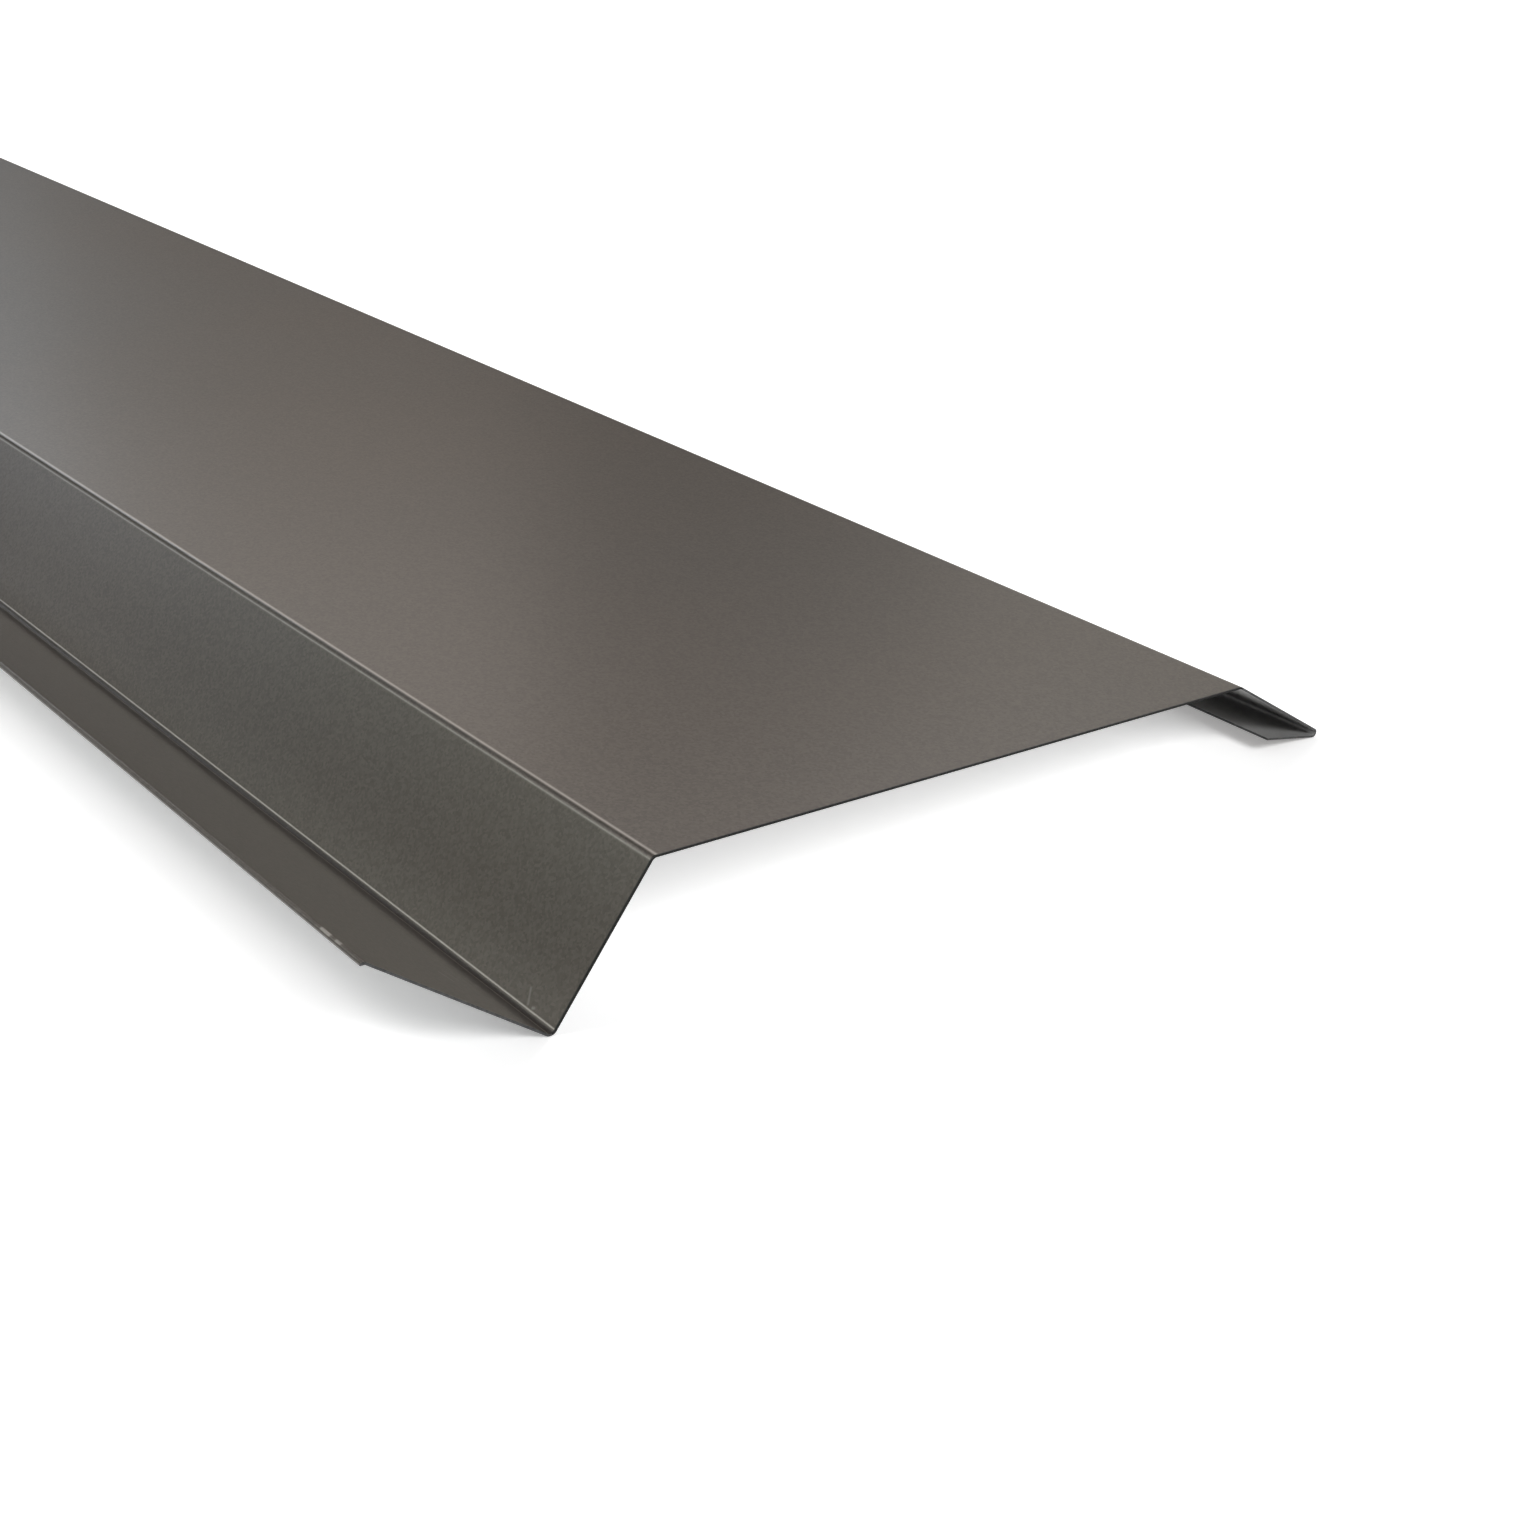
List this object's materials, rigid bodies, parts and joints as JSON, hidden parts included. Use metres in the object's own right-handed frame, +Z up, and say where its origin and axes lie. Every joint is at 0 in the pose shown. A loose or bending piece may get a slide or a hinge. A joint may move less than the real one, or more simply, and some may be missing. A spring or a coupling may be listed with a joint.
{
  "type": "verge trim",
  "caption": "Long folded sheet-steel trim for a roof's verge: a hemmed lip, a valley, a wide cover face and a back leg with a drip return.",
  "frame": {"origin": "middle of the part's box at the level it lies on", "axes": "+X along the length, +Y across it from the hemmed lip to the drip return, +Z up"},
  "size_m": [2, 0.2558, 0.0305],
  "materials": {
    "coated_sheet": "satin metallic brown-grey coil coating"
  },
  "bodies": {
    "root": {"verge_trim": "coated_sheet"}
  },
  "joints": []
}
